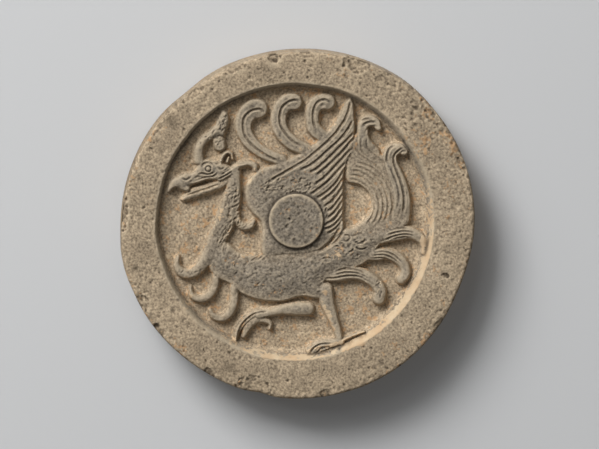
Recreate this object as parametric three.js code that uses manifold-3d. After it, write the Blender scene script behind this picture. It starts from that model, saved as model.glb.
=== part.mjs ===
// Roof end tile: a round disc of grey fired clay that closed the lower end of a row of half-round roof tiles.
// A wide plain rim stands round a sunken field. In the field a long-tailed bird walks to the left, in low
// relief: head and hooked beak, comb, three crest plumes, a raised wing round a flat boss, breast hooks,
// a lifted leg and a standing leg, and a tail of plumes and curls.
//
// Millimetres. +Z is up, the decorated front faces -Y, and the flat back lies in the plane y = 0.
// The origin is the middle of the back, where the tile met the barrel of the row behind it.

import * as THREE from 'three';
import { mergeVertices } from 'three/addons/utils/BufferGeometryUtils.js';
import Module from 'manifold-3d';

const wasm = await Module();
wasm.setup();

// ---- Driving dimensions -------------------------------------------------------------------------

const RADIUS = 91; // of the front, before it is pulled out of round
const THICKNESS = 28;
const OUT_OF_ROUND = 1.3; // the disc is longer by this along OUT_OF_ROUND_ANGLE and shorter across it
const OUT_OF_ROUND_ANGLE = 33;
const BACK_FLARE = 0.4; // the side leans out by this from front to back
const BACK_CHAMFER = 1.1;
const FRONT_EDGE = 1.9; // worn rounding of the rim's outer edge
const RIM_CROWN = 0.35; // the rim's top is this much lower at its two edges than along its middle

const FIELD_RADIUS = 72.3; // at the upper edge of the sunken field
const FIELD_DEPTH = 8.5; // below the rim's top
const FIELD_EDGE = 1.2; // worn rounding of the field's upper edge
const FIELD_CENTRE = [-2, 2]; // the field sits this far off the disc's centre
const WALL_RUN = 5.2; // the field's wall leans in by this from its edge to its foot
const WALL_FOOT = { height: 1, run: 0.72 }; // near its foot the wall turns softly into the field
const WALL_EXTRA_RUN = 1.8; // and by this much more at WALL_EXTRA_ANGLE
const WALL_EXTRA_ANGLE = 290;
const DISC_SEGMENTS = 72;

const FIELD_Y = FIELD_DEPTH - THICKNESS;
const DRAWING_CENTRE = [-0.5, 1]; // the origin of the relief's drawing on the disc
const ROOT = 1.2; // every relief form runs down into the disc by this
const PAD_EDGE = 1.4; // worn rounding of the wing's and the tail's grounds
const BODY_EDGE = 1.8;
const BUTTON_EDGE = 0.9;

// Heights of the relief above the field.
const HEIGHT = {
  boss: 7, wing: 5.6, wingGround: 4.5, tail: 5.2, tailGround: 4, body: 4.6, flank: 6,
  head: 5, nostril: 5.5, eye: 5.7, jaw: 4.4, lip: 4.1, neck: 4.8, plume: 4.8, hook: 4.4,
  thigh: 5, leg: 4.6, toe: 3.8,
};

// A ridge gets a new ring wherever its line has turned or run on by this much since the last one.
const MOST_TURN = 22; // degrees
const LONGEST_STEP = 13;
const RISE_RUN = 9; // a ridge that starts low reaches its full height over this length
const TIP = { ring: 0.35, width: 0.22, height: 0.7 }; // a round tip's extra ring, and what is left at its end

// Swellings and dents of the outline: [angle, outward amount, spread in degrees].
const OUTLINE_SWELLINGS = [
  [51, 0.5, 9], [98, -0.6, 25], [130, -1.1, 8], [192, 0.9, 7], [234, -1.6, 24], [257, -1.1, 4],
  [301, 1, 20], [341, -0.8, 12],
];

// Old losses: each is the hollow left by a flake, as a flattened ball
// { angle, radius: from the disc's centre, along, across, deep }.
const LOSSES = [
  { angle: 70, radius: 89.5, along: 7, across: 5.6, deep: 1.4 },
  { angle: 98, radius: 88.6, along: 4, across: 2.8, deep: 1.5 },
  { angle: 176, radius: 91.4, along: 9.5, across: 3.4, deep: 1.8 },
  { angle: 206, radius: 90.6, along: 5, across: 4.2, deep: 1.3 },
  { angle: 217, radius: 91, along: 4.4, across: 3.4, deep: 1.5 },
  { angle: 239, radius: 90, along: 3.6, across: 3.4, deep: 1.2 },
  { angle: 255, radius: 89.6, along: 9.6, across: 8.4, deep: 1.3 },
];

const FLAKE_SEGMENTS = 10;

// ---- Solids from meshes ---------------------------------------------------------------------------

function asSolid(geometry) {
  const bare = geometry.clone();
  bare.deleteAttribute('normal');
  bare.deleteAttribute('uv');
  const merged = mergeVertices(bare, 1e-4);
  const corners = [];
  const index = merged.index.array;
  for (let i = 0; i < index.length; i += 3) {
    const [a, b, c] = index.slice(i, i + 3);
    if (a !== b && b !== c && a !== c) corners.push(a, b, c);
  }
  const vertProperties = Float32Array.from(merged.attributes.position.array);
  const triVerts = Uint32Array.from(corners);
  if (signedVolume(vertProperties, triVerts) < 0) triVerts.reverse();
  return new wasm.Manifold(new wasm.Mesh({ numProp: 3, vertProperties, triVerts }));
}

function signedVolume(positions, corners) {
  const [a, b, c] = [new THREE.Vector3(), new THREE.Vector3(), new THREE.Vector3()];
  let volume = 0;
  for (let i = 0; i < corners.length; i += 3) {
    a.fromArray(positions, corners[i] * 3);
    b.fromArray(positions, corners[i + 1] * 3);
    c.fromArray(positions, corners[i + 2] * 3);
    volume += a.dot(b.cross(c)) / 6;
  }
  return volume;
}

function asGeometry(solid) {
  const { vertProperties, triVerts } = solid.getMesh();
  const geometry = new THREE.BufferGeometry();
  geometry.setAttribute('position', new THREE.BufferAttribute(vertProperties, 3));
  geometry.setIndex(new THREE.BufferAttribute(triVerts, 1));
  geometry.computeVertexNormals();
  return geometry;
}

function lathed(profile, segments) {
  return new THREE.LatheGeometry(profile.map(([radius, y]) => new THREE.Vector2(radius, y)), segments);
}

// ---- The disc ---------------------------------------------------------------------------------------

const radians = THREE.MathUtils.degToRad;

function outlineBulge(angle) {
  const turned = radians(2 * (angle - OUT_OF_ROUND_ANGLE));
  const swellings = OUTLINE_SWELLINGS.map(([at, amount, spread]) => {
    const apart = THREE.MathUtils.euclideanModulo(angle - at + 180, 360) - 180;
    return amount * Math.exp(-((apart / spread) ** 2));
  });
  return OUT_OF_ROUND * Math.cos(turned) + swellings.reduce((sum, each) => sum + each, 0);
}

function wallRun(angle) {
  return WALL_RUN + WALL_EXTRA_RUN * Math.max(0, Math.cos(radians(angle - WALL_EXTRA_ANGLE)));
}

// Half of the disc's section, as [radius, y, fraction of the wall's run], from the middle of the back
// round to the middle of the field.
function discProfile() {
  const rimMiddle = (RADIUS + FIELD_RADIUS) / 2;
  const edgeCut = FRONT_EDGE / 3;
  return [
    [0, 0, 0],
    [RADIUS + BACK_FLARE - BACK_CHAMFER, 0, 0],
    [RADIUS + BACK_FLARE, -BACK_CHAMFER, 0],
    [RADIUS, FRONT_EDGE - THICKNESS, 0],
    [RADIUS - edgeCut, edgeCut - THICKNESS, 0],
    [RADIUS - FRONT_EDGE, RIM_CROWN - THICKNESS, 0],
    [rimMiddle, -THICKNESS, 0],
    [FIELD_RADIUS + FIELD_EDGE, RIM_CROWN - THICKNESS, 0],
    [FIELD_RADIUS, FIELD_EDGE - THICKNESS, 0],
    [FIELD_RADIUS, FIELD_Y - WALL_FOOT.height, WALL_FOOT.run],
    [FIELD_RADIUS, FIELD_Y, 1],
    [0, FIELD_Y, 0],
  ];
}

// The disc's outer part follows the bulges of its outline, and its inner part is centred on the field.
function disc() {
  const profile = discProfile();
  const lathe = lathed(profile, DISC_SEGMENTS);
  const position = lathe.attributes.position;
  for (let i = 0; i < position.count; i++) {
    const x = position.getX(i);
    const z = position.getZ(i);
    const radius = Math.hypot(x, z);
    if (radius < 1) continue;
    const angle = THREE.MathUtils.radToDeg(Math.atan2(z, x));
    const runFraction = profile[i % profile.length][2];
    const outer = THREE.MathUtils.smoothstep(radius, FIELD_RADIUS + FIELD_EDGE, RADIUS - FRONT_EDGE);
    const stretched = (radius + outer * outlineBulge(angle) - runFraction * wallRun(angle)) / radius;
    position.setX(i, x * stretched + FIELD_CENTRE[0] * (1 - outer));
    position.setZ(i, z * stretched + FIELD_CENTRE[1] * (1 - outer));
  }
  return asSolid(lathe);
}

function loss({ angle, radius, along, across, deep }) {
  const ball = new THREE.SphereGeometry(1, FLAKE_SEGMENTS, FLAKE_SEGMENTS / 2);
  ball.scale(across, deep, along);
  ball.rotateY(-radians(angle));
  ball.translate(radius * Math.cos(radians(angle)), -THICKNESS, radius * Math.sin(radians(angle)));
  return asSolid(ball);
}

// ---- Forms of the relief ----------------------------------------------------------------------------
// A form is drawn with points [x, z, width] in the plane of the field, and stands up from it towards -Y.

function onField(x, z, height) {
  return new THREE.Vector3(x + DRAWING_CENTRE[0], FIELD_Y - height, z + DRAWING_CENTRE[1]);
}

// Section of a ridge as [across, up]: across is -1 to 1 between its edges, and up is 1 at its crest.
const SECTIONS = {
  round: [[-1, 0], [-0.86, 0.72], [-0.42, 1], [0.42, 1], [0.86, 0.72], [1, 0]],
  feather: [[-1, 0], [-0.66, 1], [0.66, 1], [1, 0]],
  twoRibs: [[-1, 0], [-0.84, 0.9], [-0.14, 1], [0, 0.62], [0.14, 1], [0.84, 0.9], [1, 0]],
  dome: [[-1, 0], [-0.8, 0.5], [-0.4, 0.9], [0, 1], [0.4, 0.9], [0.8, 0.5], [1, 0]],
  threeRibs: [[-1, 0], [-0.74, 1], [-0.34, 0.68], [0, 1], [0.34, 0.68], [0.74, 1], [1, 0]],
};

function smoothLine(points, closed) {
  const places = points.map(([x, z]) => new THREE.Vector3(x, 0, z));
  return new THREE.CatmullRomCurve3(places, closed, 'centripetal');
}

// Places along a line, as distances from its start, closer together where it turns more.
function placesAlong(line, from, to) {
  const SAMPLES = 120;
  const length = line.getLength();
  const places = [from];
  let tangent = line.getTangentAt(from / length);
  let turned = 0;
  for (let i = 1; i < SAMPLES; i++) {
    const place = THREE.MathUtils.lerp(from, to, i / SAMPLES);
    const next = line.getTangentAt(place / length);
    turned += tangent.angleTo(next);
    tangent = next;
    if (turned > radians(MOST_TURN) || place - places.at(-1) > LONGEST_STEP) {
      places.push(place);
      turned = 0;
    }
  }
  return [...places, to];
}

// A ridge follows a smooth line through its points, with the width given at each. A round end closes like
// a fingertip, and an open end is cut square, inside another form. A ridge with a startHeight rises from it.
function ridge(points, height, { section = SECTIONS.round, roundStart = false, startHeight = height } = {}) {
  const line = smoothLine(points, false);
  const length = line.getLength();
  const widthAt = (share) => {
    const place = line.getUtoTmapping(share) * (points.length - 1);
    const before = Math.min(Math.floor(place), points.length - 2);
    return THREE.MathUtils.lerp(points[before][2], points[before + 1][2], place - before);
  };
  const startTip = roundStart ? widthAt(0) / 2 : 0;
  const endTip = widthAt(1) / 2;
  const places = placesAlong(line, startTip, length - endTip);
  if (roundStart) places.unshift(0, startTip * TIP.ring);
  places.push(length - endTip * TIP.ring, length);
  const rings = places.map((place) => {
    const share = Math.min(place / length, 1);
    const toStart = roundStart ? Math.min(1, place / startTip) : 1;
    const toEnd = Math.min(1, (length - place) / endTip);
    const narrowing = Math.max(TIP.width, Math.sqrt(1 - (1 - Math.min(toStart, toEnd)) ** 2));
    const centre = line.getPointAt(share);
    const along = line.getTangentAt(share);
    const half = widthAt(share) / 2 * narrowing;
    const risen = THREE.MathUtils.lerp(startHeight, height, Math.min(1, place / RISE_RUN));
    const top = risen * THREE.MathUtils.lerp(TIP.height, 1, narrowing);
    return section.map(([across, up]) => {
      const aside = across * half;
      return onField(centre.x + aside * along.z, centre.z - aside * along.x, up === 0 ? -ROOT : up * top);
    });
  });
  return asSolid(loft(rings, section));
}

// Skin over a row of rings that all have the section's number of points, closed at both ends.
function loft(rings, section) {
  const count = section.length;
  const corners = [];
  for (let ring = 0; ring + 1 < rings.length; ring++) {
    for (let i = 0; i < count; i++) {
      const [a, b] = [ring * count + i, ring * count + (i + 1) % count];
      corners.push(a, b, a + count, b, b + count, a + count);
    }
  }
  const flat = section.map(([across, up]) => new THREE.Vector2(across, up));
  const last = (rings.length - 1) * count;
  for (const [a, b, c] of THREE.ShapeUtils.triangulateShape(flat, [])) {
    corners.push(a, b, c, last + a, last + c, last + b);
  }
  const places = rings.flat().flatMap((place) => place.toArray());
  const geometry = new THREE.BufferGeometry();
  geometry.setAttribute('position', new THREE.Float32BufferAttribute(places, 3));
  geometry.setIndex(corners);
  return geometry;
}

// A pad is a low flat-topped mass inside a smooth closed outline, with a rounded edge.
function pad(outline, height, samples, edge = PAD_EDGE) {
  const corners = smoothLine(outline, true).getSpacedPoints(samples).slice(0, -1);
  const shape = new THREE.Shape(corners.map(({ x, z }) => new THREE.Vector2(x, z)));
  const bevel = { bevelThickness: edge, bevelSize: edge, bevelOffset: -edge, bevelSegments: 1 };
  const body = new THREE.ExtrudeGeometry(shape, { depth: height + ROOT - edge, steps: 1, ...bevel });
  body.rotateX(Math.PI / 2);
  body.translate(DRAWING_CENTRE[0], FIELD_Y + ROOT, DRAWING_CENTRE[1]);
  return asSolid(body);
}

// A button is a round flat-topped form.
function button([x, z], radius, height, segments) {
  const edge = Math.min(BUTTON_EDGE, radius / 2);
  const top = [[radius, edge - height], [radius - edge, -height], [0, -height]];
  const turned = lathed([[0, ROOT], [radius, ROOT], ...top], segments);
  turned.translate(x + DRAWING_CENTRE[0], FIELD_Y, z + DRAWING_CENTRE[1]);
  return asSolid(turned);
}

// Points of an arc, from one angle to another, with one width.
function arc([x, z], radius, from, to, width) {
  const POINTS = 7;
  return Array.from({ length: POINTS }, (_, i) => {
    const angle = radians(THREE.MathUtils.lerp(from, to, i / (POINTS - 1)));
    return [x + radius * Math.cos(angle), z + radius * Math.sin(angle), width];
  });
}

function between(first, last, share) {
  return first.map((value, i) => THREE.MathUtils.lerp(value, last[i], share));
}

// ---- The bird ---------------------------------------------------------------------------------------

function head() {
  return [
    ridge([[-50.5, 27.6, 8.5], [-44, 27.6, 12], [-36, 24.6, 10]], HEIGHT.head, { roundStart: true }),
    ridge([[-45, 26.8, 11], [-53, 24.6, 7.8], [-59, 23, 6.2], [-64, 20.9, 5.6], [-67.3, 16.6, 3.4]],
      HEIGHT.head),
    ridge([[-34, 22.4, 7.4], [-46, 18.7, 6.2], [-53, 16, 5.4], [-60.8, 11.8, 3]], HEIGHT.jaw),
    ridge([[-49, 21.6, 2.4], [-58.6, 18.2, 3.8]], HEIGHT.lip),
    button([-58.3, 24.4], 2, HEIGHT.nostril, 8),
    button([-46.6, 28.4], 2.3, HEIGHT.eye, 10),
  ];
}

function comb() {
  return [
    ridge([[-50.8, 31, 5], [-51.2, 38.3, 5.4], [-47.6, 43.6, 6], [-42.6, 48.2, 6.8], [-39, 53.5, 7],
      [-38, 60.2, 4.4]], HEIGHT.plume),
    ridge([[-38, 51, 6], [-37, 46, 5.4], [-40.2, 38.6, 7]], HEIGHT.plume),
    ridge([[-40.6, 30, 3.2], [-38.6, 35.8, 3.4], [-35.4, 36.4, 3.2], [-33.4, 31.6, 2.8]], HEIGHT.hook),
    ridge([[-40, 24, 5], [-36, 26.4, 5], [-31, 29.4, 4.6], [-26, 31.2, 4.6], [-20.6, 28.4, 5.4]],
      HEIGHT.plume),
  ];
}

// Three plumes rise behind the wing, lean back, and curl forward at their tips.
function crestPlumes() {
  const plumes = [
    [[-8, 33, 7], [-17, 37, 7.4], [-25, 43, 8], [-28.6, 51, 9], [-25.5, 57.5, 10.5], [-20.5, 59.6, 12],
      [-14.6, 57.6, 9]],
    [[4, 38, 8.6], [-3, 44.5, 9.4], [-7.5, 50.5, 9.8], [-9.5, 56.5, 9.6], [-7.5, 61.5, 10.4],
      [-2.5, 63.2, 11.4], [3.8, 61, 8.4]],
    [[13, 44, 8], [8.8, 50.5, 8.4], [8, 56.5, 8.4], [9.5, 61, 9.6], [14, 62.8, 10.6], [20.9, 60.4, 8]],
  ];
  const ribs = { section: SECTIONS.twoRibs, startHeight: HEIGHT.wingGround };
  return plumes.map((points) => ridge(points, HEIGHT.plume, ribs));
}

// The neck runs down into the first breast hook, and two more hooks hang from the breast.
function neckAndBreast() {
  const hooks = [
    [[-42, -25, 5.2], [-42.8, -32, 5.2], [-45.7, -37, 5.2], [-50.3, -39.2, 5], [-54.5, -37.3, 4.2],
      [-56, -32, 3]],
    [[-32.5, -33, 5.2], [-32.6, -40.5, 5.2], [-34.6, -46.3, 5.2], [-38.8, -49.5, 5], [-43.3, -48.3, 4.4],
      [-46, -43.8, 3]],
  ];
  return [
    ridge([[-32, 28.6, 7.6], [-34.3, 11, 11.4], [-37.8, 1, 12], [-42, -8, 11], [-45.6, -15, 8.6],
      [-49.5, -21.5, 7], [-54.5, -26, 6], [-59.7, -26, 5.5], [-62.6, -21.8, 5], [-61.3, -16.6, 3.6]],
      HEIGHT.neck),
    ridge([[-31.5, 7, 4], [-31.3, 1.5, 4.6], [-28.5, -2.3, 5], [-24.8, -2.8, 4.8], [-21.6, 1.2, 2.8]],
      HEIGHT.hook),
    ...hooks.map((points) => ridge(points, HEIGHT.hook)),
  ];
}

function boss() {
  const [CENTRE, BOSS_RADIUS, SEGMENTS] = [[-0.7, 1.4], 14.6, 36];
  return [button(CENTRE, BOSS_RADIUS, HEIGHT.boss, SEGMENTS)];
}

function body() {
  return [
    pad([[-47, -15], [-38, -9], [-29, -15], [-14, -15.5], [14, -12], [24, -3], [33, -2.5], [47, -5],
      [43, -12], [36, -21], [22, -27], [14.5, -32], [19, -38], [11, -40.2], [3, -38.6], [-8, -41],
      [-20, -40], [-29, -37], [-36, -31.5], [-44, -27]], HEIGHT.body, 56, BODY_EDGE),
    ridge([[-43, -19, 15], [-30, -25, 23], [-12, -27.5, 26], [6, -26, 25], [22, -17, 22], [37, -9, 15]],
      HEIGHT.flank, { section: SECTIONS.dome, roundStart: true }),
  ];
}

// Long feathers fan out from the shoulder to the back edge of the wing, one below another, and short ones
// carry on down round the boss.
function wing() {
  const ground = pad([[-27.3, 18], [-25, 24], [-19, 29.2], [-12, 31.2], [-5, 33.7], [2, 37], [10, 43],
    [17, 50], [22, 57], [25, 64], [28, 66], [30.4, 62], [30.4, 55], [30, 47], [28.6, 38], [26, 31.5],
    [24.4, 25], [24.2, 12], [24, 0], [18, -8], [10, -15], [-8, -17], [-18, -17], [-19.6, -11],
    [-18.5, -4], [-19.5, 1], [-23.5, 5], [-26.5, 10]], HEIGHT.wingGround, 60);
  const longFeathers = [
    [[-19, 25, 6.5], [-8, 29.2, 5.6], [2, 34.4, 5.3], [11, 41, 5.1], [18, 48.4, 5.1], [23.5, 56, 4.4],
      [27, 65.6, 2.2]],
    [[-10, 23.4, 4], [-1, 27.5, 4.4], [7, 32.6, 4.6], [14, 37.9, 4.7], [20.5, 44.3, 4.7],
      [26, 51, 4.5], [28.8, 57.5, 3.8], [29.6, 64.6, 2]],
    [[4, 28, 3.2], [11.5, 32, 3.5], [17.5, 37, 3.5], [23, 41.9, 3.5], [27.6, 46, 3.4], [30.2, 50.4, 2]],
    [[6, 25, 3.2], [12.5, 28.8, 3.3], [18, 33.3, 3.4], [23, 38, 3.4], [27.3, 42.6, 3.2], [29.8, 45, 2]],
    [[6, 21.2, 3.2], [12, 24.8, 3.2], [18, 30, 3], [24, 35.6, 3], [28.6, 38.8, 2]],
    [[6, 17.5, 3.2], [14, 22.4, 3.3], [20, 27.8, 3.4], [26, 32.6, 2]],
    [[8, 14.6, 3], [14, 18.2, 3.5], [20, 23.2, 3.7], [24.3, 28.6, 2.2]],
  ];
  const SHORT_FEATHERS = 8;
  const shortFeathers = Array.from({ length: SHORT_FEATHERS }, (_, i) => {
    const share = i / (SHORT_FEATHERS - 1);
    return [
      between([13.5, 14, 2.8], [9, -12, 3], share),
      between([19, 17.8, 2.8], [15.5, -9, 3], share),
      between([24.4, 22.8, 2], [21.8, -5, 2.2], share),
    ];
  });
  const feather = { section: SECTIONS.feather, startHeight: HEIGHT.wingGround };
  return [
    ground,
    ...[...longFeathers, ...shortFeathers].map((points) => ridge(points, HEIGHT.wing, feather)),
  ];
}

function legs() {
  const raisedToes = [
    [[-16, -44.4, 3.2], [-24, -46, 3.4], [-29.3, -50.8, 3.2], [-32.2, -56.5, 3], [-33.4, -61.8, 2.4]],
    [[-18, -46.2, 3], [-25, -49.4, 2.8], [-28.7, -54.2, 2.6], [-30.8, -61, 2.2]],
    [[-16, -47.2, 5], [-22.5, -50.6, 5.4], [-26.2, -55, 5], [-28.4, -61, 3]],
    [[-19.5, -49, 4.4], [-15.3, -50.8, 4.2], [-12.8, -54, 3.4], [-13.8, -57.6, 2]],
  ];
  const standingToes = [
    [[22, -60.8, 4], [15, -61, 3.6], [9, -62.7, 3.2], [3.2, -66.4, 2]],
    [[21, -63, 3.2], [13, -63.9, 3], [6.2, -68.2, 2]],
    [[22.5, -63.8, 4], [15, -66.3, 4.4], [9, -68.8, 3.4]],
    [[22.5, -61.6, 3.8], [28, -59.5, 3.2], [33, -57.7, 3], [37, -57, 2]],
  ];
  return [
    ridge([[9.6, -45, 7.4], [4, -44.9, 7.8], [-4, -44.8, 6.8], [-12, -45.4, 6], [-22, -47.4, 6]],
      HEIGHT.thigh, { roundStart: true }),
    ridge([[14.2, -33, 9.6], [16, -42, 8], [18.6, -50, 6.4], [21.4, -57, 5.2], [22.4, -63.5, 5.4]],
      HEIGHT.leg),
    ...[...raisedToes, ...standingToes].map((points) => ridge(points, HEIGHT.toe)),
  ];
}

// The tail sweeps up in ribbed arcs round an open pocket behind the wing. Two plumes curl at its top, and
// three curls trail from the rump.
function tail() {
  const ground = pad([[26, 22], [25, 33], [28, 43], [34, 45], [40, 40], [47, 32], [54, 26], [58.6, 14],
    [58.6, 2], [50, -9], [36, -13], [24, -14], [19, -8], [27, -3.4], [33, 0.2], [37.2, 5], [38.4, 10.4],
    [36.6, 15.6], [32, 19.4]], HEIGHT.tailGround, 56);
  const ARCS = { count: 4, centre: [26, 9.5], inner: 14, apart: 2.9, width: 3.1 };
  const arcs = Array.from({ length: ARCS.count }, (_, i) => (
    arc(ARCS.centre, ARCS.inner + ARCS.apart * i, 92 - 4 * i, 8 * i - 44, ARCS.width)
  ));
  const plumes = [
    [[52, -1, 12], [53.2, 6, 12.4], [53, 16, 11.4], [50.5, 25, 9.6], [48.6, 31, 8.6], [48.6, 35.6, 8],
      [51.2, 38.2, 7], [54.6, 38.3, 5.8], [57.8, 36.4, 4]],
    [[46.5, 18, 6.4], [44.3, 26, 8], [39, 34.5, 9], [34.8, 41.5, 8.6], [33.4, 47.5, 7.8],
      [34.9, 51.6, 8], [38.3, 53, 8], [41.4, 51.4, 6.6], [42.6, 47.2, 4]],
  ];
  const curls = [
    [[42, -6.4, 9], [50, -5.7, 8.8], [56.5, -5, 8.2], [62, -5.6, 7.4], [66, -9, 6.2], [66.9, -13, 4.8],
      [65, -17, 3.2]],
    [[34, -15.5, 9.6], [42, -16, 9], [48.3, -16.3, 8.2], [53.3, -19, 7.6], [56.6, -23.5, 6.8],
      [56.4, -28, 6.2], [53, -32.8, 4]],
    [[14, -27.4, 8], [21, -27.1, 9], [28, -25.8, 8.8], [35, -27.2, 8.2], [41, -31, 8], [44, -36, 7.6],
      [43.4, -40.8, 6.6], [39.8, -44, 3.8]],
  ];
  const rib = { section: SECTIONS.feather, startHeight: HEIGHT.tailGround };
  const ribs = { section: SECTIONS.threeRibs, startHeight: HEIGHT.tailGround };
  return [
    ground,
    ...arcs.map((points) => ridge(points, HEIGHT.tail, rib)),
    ...[...plumes, ...curls].map((points) => ridge(points, HEIGHT.tail, ribs)),
  ];
}

// ---- The tile ---------------------------------------------------------------------------------------

const forms = [body, tail, wing, boss, neckAndBreast, comb, crestPlumes, head, legs];
const relief = forms.flatMap((form) => form());
const whole = wasm.Manifold.union([disc(), ...relief]);
const tile = LOSSES.map(loss).reduce((rest, hollow) => rest.subtract(hollow), whole);

const clay = new THREE.MeshStandardMaterial({ color: 0x8f8470, roughness: 0.95, metalness: 0 });
clay.name = 'fired_clay';
const tileMesh = new THREE.Mesh(asGeometry(tile), clay);
tileMesh.name = 'tile_end_disc';

const roofEndTile = new THREE.Group();
roofEndTile.add(tileMesh);

export default roofEndTile;
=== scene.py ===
"""Looks of the roof end tile: one dense piece of worn clay, what lies on it, and its stage and light.

Shapes are in millimetres on the disc's own plane, x to the right and z up, and turn to metres in the mesh.
"""
import math

import bpy
import numpy as np
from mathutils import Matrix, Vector


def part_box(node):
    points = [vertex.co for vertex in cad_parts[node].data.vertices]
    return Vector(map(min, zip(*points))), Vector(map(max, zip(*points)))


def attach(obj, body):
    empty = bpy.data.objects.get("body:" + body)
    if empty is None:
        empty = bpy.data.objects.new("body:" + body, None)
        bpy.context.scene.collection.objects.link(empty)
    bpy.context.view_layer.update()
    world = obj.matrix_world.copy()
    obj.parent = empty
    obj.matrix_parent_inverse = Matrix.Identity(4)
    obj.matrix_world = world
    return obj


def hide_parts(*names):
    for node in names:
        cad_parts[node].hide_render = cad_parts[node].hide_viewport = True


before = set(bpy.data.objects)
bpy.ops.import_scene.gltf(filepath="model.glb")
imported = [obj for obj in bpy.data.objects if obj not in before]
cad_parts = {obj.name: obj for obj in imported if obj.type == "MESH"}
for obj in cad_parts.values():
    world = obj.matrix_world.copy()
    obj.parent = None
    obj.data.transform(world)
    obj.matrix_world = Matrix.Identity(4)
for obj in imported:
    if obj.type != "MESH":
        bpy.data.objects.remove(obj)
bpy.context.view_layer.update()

NODE = "tile_end_disc"
MM = 0.001
LOW, HIGH = (np.array(corner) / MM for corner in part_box(NODE))
THICKNESS = -LOW[1]

# ---- The disc, in millimetres --------------------------------------------------------------------

RADIUS = 91.0
OUT_OF_ROUND = 1.3
OUT_OF_ROUND_ANGLE = 33
BACK_FLARE = 0.4
BACK_CHAMFER = 1.1
# Swellings and dents of the outline: (angle, outward amount, spread in degrees).
OUTLINE_SWELLINGS = [
    (51, 0.5, 9), (98, -0.6, 25), (130, -1.1, 8), (192, 0.9, 7), (234, -1.6, 24), (257, -1.1, 4),
    (301, 1, 20),
    (341, -0.8, 12),
]
RIM_CROWN = 0.35
FIELD_RADIUS = 72.3
FIELD_DEPTH = 8.5
FIELD_CENTRE = (-2, 2)
WALL_RUN = 4.2
WALL_EXTRA_RUN = 1.8
WALL_EXTRA_ANGLE = 325
BANK_HEIGHT = 4.2
BANK_REACH = 9
BANK_ANGLE = 140
BANK_SPREAD = 55
DRAWING_CENTRE = (-0.5, 1)
FRONT_EDGE = 1.7

# Heights of the relief above the field.
BOSS = 7.0
WING_GROUND = 4.5
TAIL = 5.2
TAIL_GROUND = 4.0
BODY = 4.2
FLANK = 1.8
HEAD = 5.0
NECK = 4.8
PLUME = 4.8
HOOK = 4.4
THIGH = 5.0
LEG = 4.6
TOE = 3.8
STANDING_FOOT = 5.2

# ---- The grid that the front is modelled on ------------------------------------------------------

CELL = 0.25
COUNT = 768
AXIS = (np.arange(COUNT) - (COUNT - 1) / 2) * CELL
GRID_X, GRID_Z = np.meshgrid(AXIS, AXIS)
DRAW_X = GRID_X - DRAWING_CENTRE[0]
DRAW_Z = GRID_Z - DRAWING_CENTRE[1]
RADIAL = np.hypot(GRID_X, GRID_Z)
ANGLE = np.degrees(np.arctan2(GRID_Z, GRID_X)) % 360


def smoothstep(low, high, value):
    share = np.clip((value - low) / (high - low), 0, 1)
    return share * share * (3 - 2 * share)


def quarter_round(share):
    """0 at the foot of an edge and 1 from its top on, like the section of a worn edge."""
    return (1 - (1 - np.clip(share, 0, 1)) ** 2) ** 0.7


def blur(field, radius):
    """The field softened over about that radius in millimetres."""
    frequency = np.fft.fftfreq(COUNT, CELL)
    falloff = np.exp(-2 * (math.pi * radius * frequency) ** 2)
    return np.fft.ifft2(np.fft.fft2(field) * falloff[:, None] * falloff[None, :]).real


def grain(seed, size):
    """Smooth noise over the grid, of mean 0 and deviation 1, with lumps of about that size."""
    noise = blur(np.random.default_rng(seed).standard_normal((COUNT, COUNT)), size / 2)
    return (noise - noise.mean()) / noise.std()


def angle_apart(angle, at):
    return np.abs((angle - at + 180) % 360 - 180)


def sample(field, x, z):
    """The field's value at places of the disc's plane."""
    column = np.clip(x / CELL + (COUNT - 1) / 2, 0, COUNT - 1.001)
    row = np.clip(z / CELL + (COUNT - 1) / 2, 0, COUNT - 1.001)
    left, below = column.astype(int), row.astype(int)
    across, up = column - left, row - below
    lower = field[below, left] * (1 - across) + field[below, left + 1] * across
    upper = field[below + 1, left] * (1 - across) + field[below + 1, left + 1] * across
    return lower * (1 - up) + upper * up


# ---- Lines drawn on the grid ---------------------------------------------------------------------

def smooth_line(points, closed=False, step=0.6):
    """Places about a step apart on a smooth line through the points.

    Any columns after the first two are carried along.
    """
    points = np.array(points, float)
    if closed:
        points = np.concatenate([points[-2:], points, points[:3]])
    apart = np.maximum(np.sqrt(np.hypot(*np.diff(points[:, :2], axis=0).T)), 1e-6)
    knots = np.concatenate([[0], np.cumsum(apart)])
    slopes = np.diff(points, axis=0) / apart[:, None]
    tangents = np.concatenate([slopes[:1], slopes[:1], slopes[1:]])
    weight = (apart[1:] / (apart[1:] + apart[:-1]))[:, None]
    tangents[1:-1] = slopes[:-1] * weight + slopes[1:] * (1 - weight)
    tangents[-1] = slopes[-1]
    first, last = (2, len(points) - 3) if closed else (0, len(points) - 1)
    places = []
    for i in range(first, last):
        count = max(2, int(math.ceil(apart[i] ** 2 / step)))
        share = (np.arange(count) / count)[:, None]
        span = knots[i + 1] - knots[i]
        square, cube = share ** 2, share ** 3
        places.append(
            (2 * cube - 3 * square + 1) * points[i]
            + (cube - 2 * square + share) * span * tangents[i]
            + (3 * square - 2 * cube) * points[i + 1]
            + (cube - square) * span * tangents[i + 1]
        )
    places.append(points[last][None])
    return np.concatenate(places)


def window_round(line, reach):
    """The part of the grid within reach of a line."""
    low = line[:, :2].min(0) - reach + DRAWING_CENTRE
    high = line[:, :2].max(0) + reach + DRAWING_CENTRE
    start = np.clip((low / CELL + COUNT / 2).astype(int), 0, COUNT)
    stop = np.clip((high / CELL + COUNT / 2).astype(int) + 1, 0, COUNT)
    return slice(start[1], stop[1]), slice(start[0], stop[0])


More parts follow.
